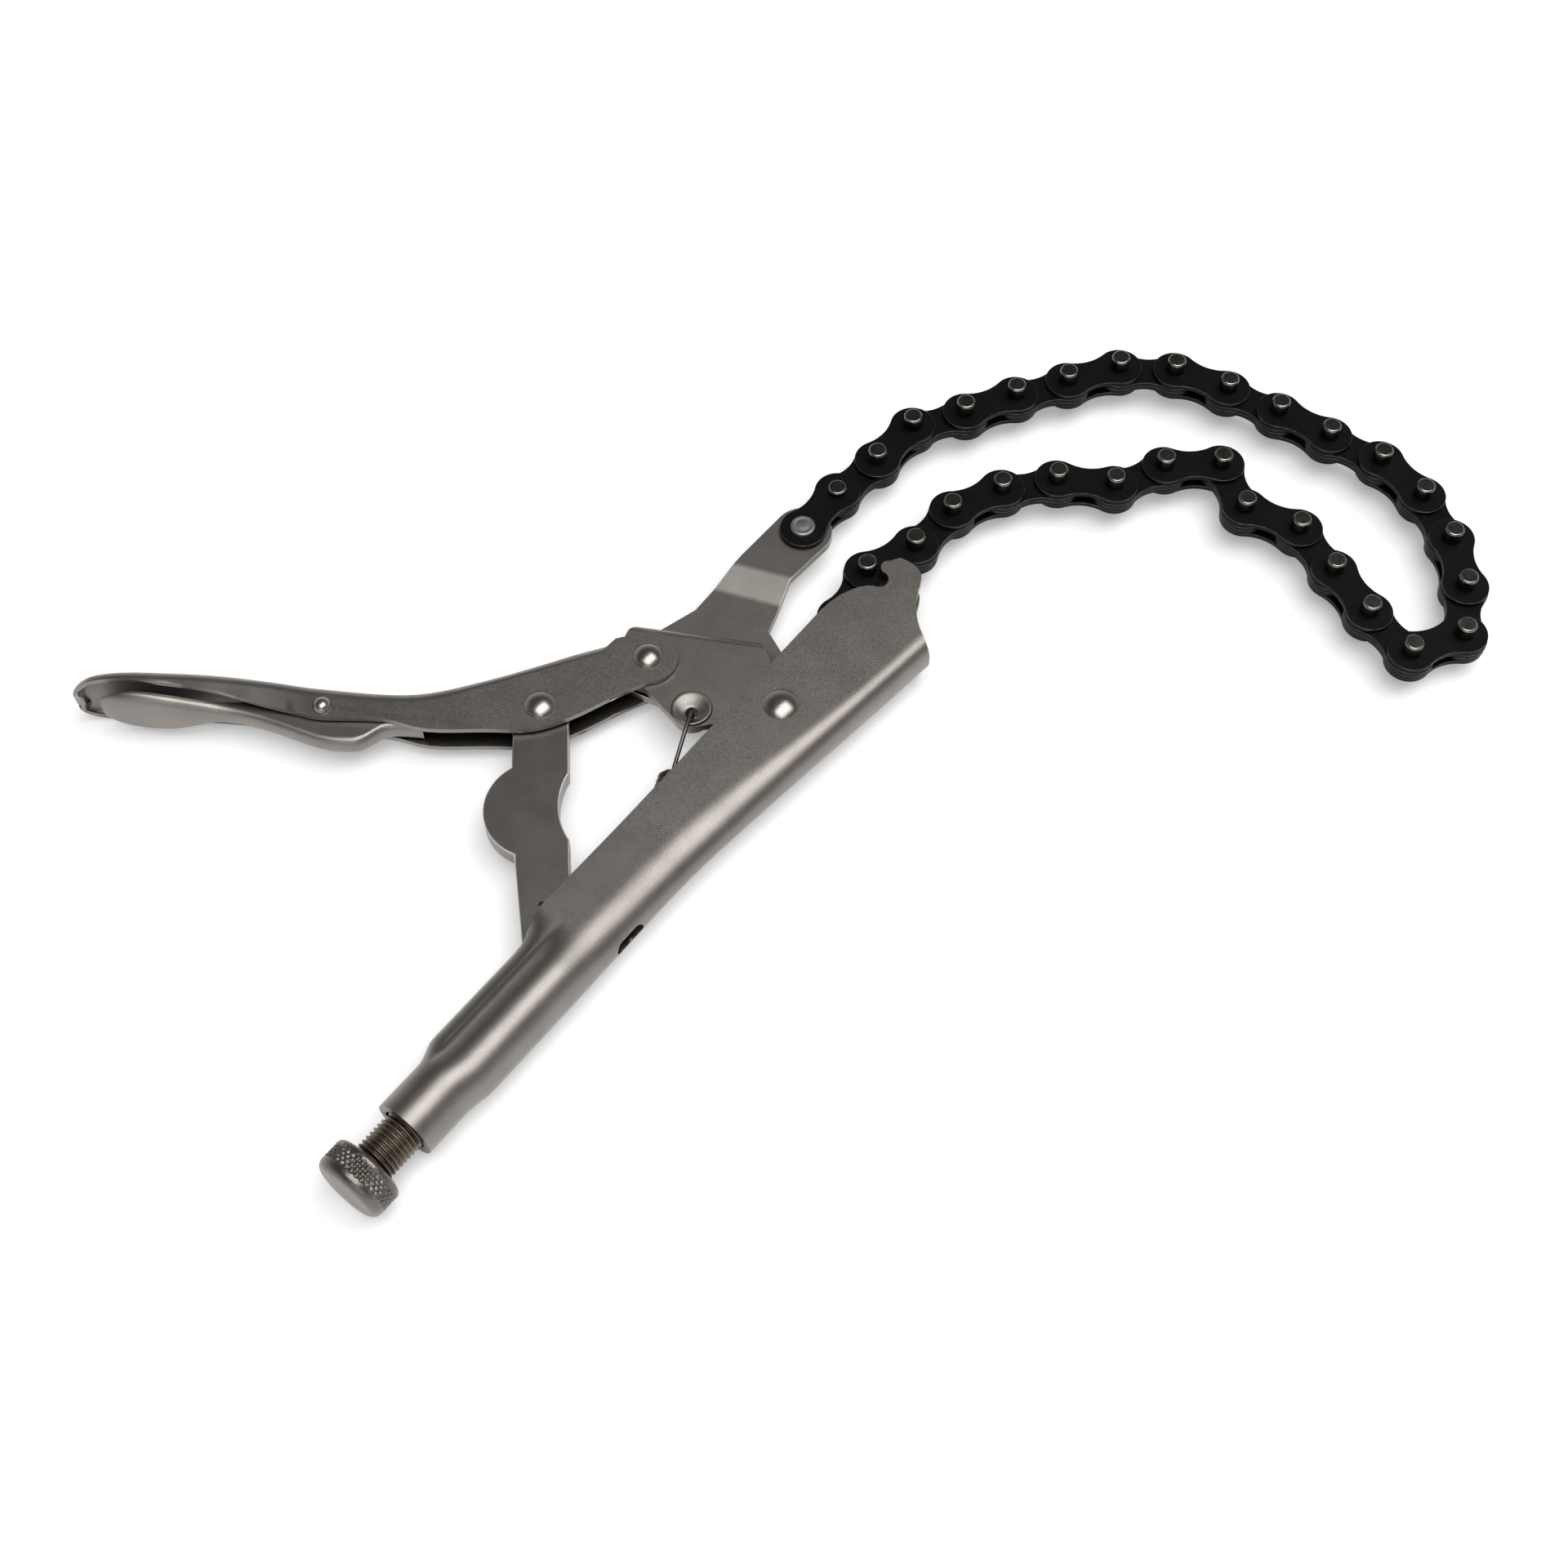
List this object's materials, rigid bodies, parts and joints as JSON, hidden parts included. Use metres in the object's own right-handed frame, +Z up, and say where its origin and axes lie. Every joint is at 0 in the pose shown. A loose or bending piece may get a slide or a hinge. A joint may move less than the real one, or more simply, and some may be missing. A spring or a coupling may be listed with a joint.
{
  "type": "locking chain clamp",
  "caption": "Locking chain clamp: pressed handle with hook and adjusting screw, toggle-worked lever with release lever, stepped jaw arm and a black pin chain that wraps round the work.",
  "frame": {"origin": "bottom centre of the bounding box, on the surface that the tool lies on", "axes": "+X to the right across the chain's loop, +Y away from the knob, +Z up, square to the plane of the linkage"},
  "size_m": [0.3744, 0.2593, 0.02],
  "materials": {
    "nickel_sheet": "satin nickel plate on pressed steel",
    "nickel_rivet": "polished nickel plate",
    "nickel_knob": "knurled, nickel plated",
    "screw_steel": "cut thread, dull plate",
    "spring_wire": "oiled spring wire",
    "chain_rivet_steel": "bare headed rivet",
    "chain_black": "black oxide",
    "pin_gunmetal": "ground pin ends, oiled"
  },
  "bodies": {
    "handle": {"fixed_handle": "nickel_sheet", "jaw_rivet": "nickel_rivet", "spring": "spring_wire"},
    "screw": {"adjusting_screw": "screw_steel"},
    "knob": {"screw_knob": "nickel_knob"},
    "jaw": {"jaw_arm": "nickel_sheet", "jaw_cover": "nickel_sheet"},
    "lever": {"lever": "nickel_sheet", "lever_rivet": "nickel_rivet", "toggle_rivet": "nickel_rivet", "release_rivet": "nickel_rivet"},
    "release": {"release_lever": "nickel_sheet"},
    "toggle": {"toggle_link": "nickel_sheet"},
    "link_1": {"outer_plates_1": "chain_black", "link_pins_1": "pin_gunmetal", "chain_rivet": "chain_rivet_steel"},
    "link_2": {"inner_plates_2": "chain_black"},
    "link_3": {"outer_plates_3": "chain_black", "link_pins_3": "pin_gunmetal"},
    "link_4": {"inner_plates_4": "chain_black"},
    "link_5": {"outer_plates_5": "chain_black", "link_pins_5": "pin_gunmetal"},
    "link_6": {"inner_plates_6": "chain_black"},
    "link_7": {"outer_plates_7": "chain_black", "link_pins_7": "pin_gunmetal"},
    "link_8": {"inner_plates_8": "chain_black"},
    "link_9": {"outer_plates_9": "chain_black", "link_pins_9": "pin_gunmetal"},
    "link_10": {"inner_plates_10": "chain_black"},
    "link_11": {"outer_plates_11": "chain_black", "link_pins_11": "pin_gunmetal"},
    "link_12": {"inner_plates_12": "chain_black"},
    "link_13": {"outer_plates_13": "chain_black", "link_pins_13": "pin_gunmetal"},
    "link_14": {"inner_plates_14": "chain_black"},
    "link_15": {"outer_plates_15": "chain_black", "link_pins_15": "pin_gunmetal"},
    "link_16": {"inner_plates_16": "chain_black"},
    "link_17": {"outer_plates_17": "chain_black", "link_pins_17": "pin_gunmetal"},
    "link_18": {"inner_plates_18": "chain_black"},
    "link_19": {"outer_plates_19": "chain_black", "link_pins_19": "pin_gunmetal"},
    "link_20": {"inner_plates_20": "chain_black"},
    "link_21": {"outer_plates_21": "chain_black", "link_pins_21": "pin_gunmetal"},
    "link_22": {"inner_plates_22": "chain_black"},
    "link_23": {"outer_plates_23": "chain_black", "link_pins_23": "pin_gunmetal"},
    "link_24": {"inner_plates_24": "chain_black"},
    "link_25": {"outer_plates_25": "chain_black", "link_pins_25": "pin_gunmetal"},
    "link_26": {"inner_plates_26": "chain_black"},
    "link_27": {"outer_plates_27": "chain_black", "link_pins_27": "pin_gunmetal"},
    "link_28": {"inner_plates_28": "chain_black"},
    "link_29": {"outer_plates_29": "chain_black", "link_pins_29": "pin_gunmetal"},
    "link_30": {"inner_plates_30": "chain_black"}
  },
  "joints": [
    {"name": "jaw_pivot", "type": "hinge", "parent": "handle", "child": "jaw", "pos_m": [-0.00294, 0.00661, 0.01], "axis": [0, 0, -1], "range_deg": [0, 15], "deforming": ["spring"]},
    {"name": "lever_pivot", "type": "hinge", "parent": "jaw", "child": "lever", "pos_m": [-0.03794, 0.02221, 0.01], "axis": [0, 0, 1], "range_deg": [0, 34.1]},
    {"name": "toggle_pivot", "type": "hinge", "parent": "lever", "child": "toggle", "pos_m": [-0.06544, 0.00701, 0.01], "axis": [0, 0, -1], "range_deg": [0, 27.5]},
    {"name": "release_pivot", "type": "hinge", "parent": "lever", "child": "release", "pos_m": [-0.12184, 0.00671, 0.01], "axis": [0, 0, -1], "range_deg": [0, 4]},
    {"name": "knob_turn", "type": "hinge", "parent": "screw", "child": "knob", "pos_m": [-0.10067, -0.1201, 0.01], "axis": [0.6225, 0.7826, 0], "range_deg": [0, 2161]},
    {"name": "screw_slide", "type": "slide", "parent": "handle", "child": "screw", "axis": [-0.6225, -0.7826, 0], "range_m": [0, 0.00762]},
    {"name": "chain_swing", "type": "hinge", "parent": "jaw", "child": "link_1", "pos_m": [0.00287, 0.06592, 0.01], "axis": [0, 0, 1], "range_deg": [0, 100]},
    {"name": "chain_pin_1", "type": "hinge", "parent": "link_1", "child": "link_2", "pos_m": [0.01243, 0.0786, 0.01], "axis": [0, 0, 1], "range_deg": [0, 15.15]},
    {"name": "chain_pin_2", "type": "hinge", "parent": "link_2", "child": "link_3", "pos_m": [0.02365, 0.08982, 0.01], "axis": [0, 0, -1], "range_deg": [0, 11.25]},
    {"name": "chain_pin_3", "type": "hinge", "parent": "link_3", "child": "link_4", "pos_m": [0.03386, 0.10198, 0.01], "axis": [0, 0, 1], "range_deg": [0, 11.55]},
    {"name": "chain_pin_4", "type": "hinge", "parent": "link_4", "child": "link_5", "pos_m": [0.04887, 0.10715, 0.01], "axis": [0, 0, -1], "range_deg": [0, 7.95]},
    {"name": "chain_pin_5", "type": "hinge", "parent": "link_5", "child": "link_6", "pos_m": [0.06348, 0.11335, 0.01], "axis": [0, 0, 1], "range_deg": [0, 6.05]},
    {"name": "chain_pin_6", "type": "hinge", "parent": "link_6", "child": "link_7", "pos_m": [0.07849, 0.11852, 0.01], "axis": [0, 0, -1], "range_deg": [0, 6.05]},
    {"name": "chain_pin_7", "type": "hinge", "parent": "link_7", "child": "link_8", "pos_m": [0.09359, 0.12343, 0.01], "axis": [0, 0, 1], "range_deg": [0, 15.95]},
    {"name": "chain_pin_8", "type": "hinge", "parent": "link_8", "child": "link_9", "pos_m": [0.10943, 0.12232, 0.01], "axis": [0, 0, 1], "range_deg": [0, 15.95]},
    {"name": "chain_pin_9", "type": "hinge", "parent": "link_9", "child": "link_10", "pos_m": [0.12381, 0.11561, 0.01], "axis": [0, 0, 1], "range_deg": [0, 6.05]},
    {"name": "chain_pin_10", "type": "hinge", "parent": "link_10", "child": "link_11", "pos_m": [0.13742, 0.10744, 0.01], "axis": [0, 0, -1], "range_deg": [0, 6.05]},
    {"name": "chain_pin_11", "type": "hinge", "parent": "link_11", "child": "link_12", "pos_m": [0.15058, 0.09856, 0.01], "axis": [0, 0, -1], "range_deg": [0, 8.65]},
    {"name": "chain_pin_12", "type": "hinge", "parent": "link_12", "child": "link_13", "pos_m": [0.1639, 0.08991, 0.01], "axis": [0, 0, 1], "range_deg": [0, 6.05]},
    {"name": "chain_pin_13", "type": "hinge", "parent": "link_13", "child": "link_14", "pos_m": [0.17367, 0.0774, 0.01], "axis": [0, 0, -1], "range_deg": [0, 17.93]},
    {"name": "chain_pin_14", "type": "hinge", "parent": "link_14", "child": "link_15", "pos_m": [0.17936, 0.06258, 0.01], "axis": [0, 0, -1], "range_deg": [0, 6.05]},
    {"name": "chain_pin_15", "type": "hinge", "parent": "link_15", "child": "link_16", "pos_m": [0.18074, 0.04677, 0.01], "axis": [0, 0, -1], "range_deg": [0, 7.15]},
    {"name": "chain_pin_16", "type": "hinge", "parent": "link_16", "child": "link_17", "pos_m": [0.17799, 0.03113, 0.01], "axis": [0, 0, 1], "range_deg": [0, 19.75]},
    {"name": "chain_pin_17", "type": "hinge", "parent": "link_17", "child": "link_18", "pos_m": [0.16317, 0.02544, 0.01], "axis": [0, 0, 1], "range_deg": [0, 19.46]},
    {"name": "chain_pin_18", "type": "hinge", "parent": "link_18", "child": "link_19", "pos_m": [0.15383, 0.03829, 0.01], "axis": [0, 0, 1], "range_deg": [0, 6.05]},
    {"name": "chain_pin_19", "type": "hinge", "parent": "link_19", "child": "link_20", "pos_m": [0.14614, 0.05217, 0.01], "axis": [0, 0, -1], "range_deg": [0, 6.05]},
    {"name": "chain_pin_20", "type": "hinge", "parent": "link_20", "child": "link_21", "pos_m": [0.13844, 0.06606, 0.01], "axis": [0, 0, -1], "range_deg": [0, 19.25]},
    {"name": "chain_pin_21", "type": "hinge", "parent": "link_21", "child": "link_22", "pos_m": [0.1243, 0.07326, 0.01], "axis": [0, 0, 1], "range_deg": [0, 27.65]},
    {"name": "loop_round", "type": "hinge", "parent": "link_22", "child": "link_23", "pos_m": [0.11939, 0.08836, 0.01], "axis": [0, 0, -1], "range_deg": [0, 36.7]},
    {"name": "chain_pin_23", "type": "hinge", "parent": "link_23", "child": "link_24", "pos_m": [0.10353, 0.08781, 0.01], "axis": [0, 0, -1], "range_deg": [0, 8.45]},
    {"name": "chain_pin_24", "type": "hinge", "parent": "link_24", "child": "link_25", "pos_m": [0.08914, 0.0811, 0.01], "axis": [0, 0, 1], "range_deg": [0, 21.65]},
    {"name": "chain_pin_25", "type": "hinge", "parent": "link_25", "child": "link_26", "pos_m": [0.07338, 0.08303, 0.01], "axis": [0, 0, -1], "range_deg": [0, 8.65]},
    {"name": "chain_pin_26", "type": "hinge", "parent": "link_26", "child": "link_27", "pos_m": [0.05785, 0.07973, 0.01], "axis": [0, 0, -1], "range_deg": [0, 7.95]},
    {"name": "chain_pin_27", "type": "hinge", "parent": "link_27", "child": "link_28", "pos_m": [0.04384, 0.07228, 0.01], "axis": [0, 0, -1], "range_deg": [0, 12.75]},
    {"name": "chain_pin_28", "type": "hinge", "parent": "link_28", "child": "link_29", "pos_m": [0.03342, 0.0603, 0.01], "axis": [0, 0, 1], "range_deg": [0, 7.75]},
    {"name": "chain_pin_29", "type": "hinge", "parent": "link_29", "child": "link_30", "pos_m": [0.02011, 0.05165, 0.01], "axis": [0, 0, -1], "range_deg": [0, 22.25]}
  ],
  "couplings": [
    {"joint": "lever_pivot", "follows": "jaw_pivot", "ratio": 2.267},
    {"joint": "toggle_pivot", "follows": "jaw_pivot", "ratio": 1.83},
    {"joint": "knob_turn", "follows": "screw_slide", "rad_per_m": 4947.4},
    {"joint": "chain_pin_1", "follows": "jaw_pivot", "ratio": 1.0064},
    {"joint": "chain_pin_2", "follows": "loop_round", "ratio": 0.30518},
    {"joint": "chain_pin_3", "follows": "loop_round", "ratio": 0.31335},
    {"joint": "chain_pin_4", "follows": "loop_round", "ratio": 0.21526},
    {"joint": "chain_pin_5", "follows": "loop_round", "ratio": 0.16349},
    {"joint": "chain_pin_6", "follows": "loop_round", "ratio": 0.16349},
    {"joint": "chain_pin_7", "follows": "loop_round", "ratio": 0.43324},
    {"joint": "chain_pin_8", "follows": "loop_round", "ratio": 0.43324},
    {"joint": "chain_pin_9", "follows": "loop_round", "ratio": 0.16349},
    {"joint": "chain_pin_10", "follows": "loop_round", "ratio": 0.16349},
    {"joint": "chain_pin_11", "follows": "loop_round", "ratio": 0.23433},
    {"joint": "chain_pin_12", "follows": "loop_round", "ratio": 0.16349},
    {"joint": "chain_pin_13", "follows": "jaw_pivot", "ratio": 1.1922},
    {"joint": "chain_pin_14", "follows": "loop_round", "ratio": 0.16349},
    {"joint": "chain_pin_15", "follows": "loop_round", "ratio": 0.19346},
    {"joint": "chain_pin_16", "follows": "loop_round", "ratio": 0.53678},
    {"joint": "chain_pin_17", "follows": "jaw_pivot", "ratio": 1.2941},
    {"joint": "chain_pin_18", "follows": "loop_round", "ratio": 0.16349},
    {"joint": "chain_pin_19", "follows": "loop_round", "ratio": 0.16349},
    {"joint": "chain_pin_20", "follows": "loop_round", "ratio": 0.52316},
    {"joint": "chain_pin_21", "follows": "loop_round", "ratio": 0.75204},
    {"joint": "chain_pin_23", "follows": "loop_round", "ratio": 0.22888},
    {"joint": "chain_pin_24", "follows": "loop_round", "ratio": 0.58856},
    {"joint": "chain_pin_25", "follows": "loop_round", "ratio": 0.23433},
    {"joint": "chain_pin_26", "follows": "loop_round", "ratio": 0.21526},
    {"joint": "chain_pin_27", "follows": "loop_round", "ratio": 0.34605},
    {"joint": "chain_pin_28", "follows": "loop_round", "ratio": 0.20981},
    {"joint": "chain_pin_29", "follows": "loop_round", "ratio": 0.60491}
  ]
}
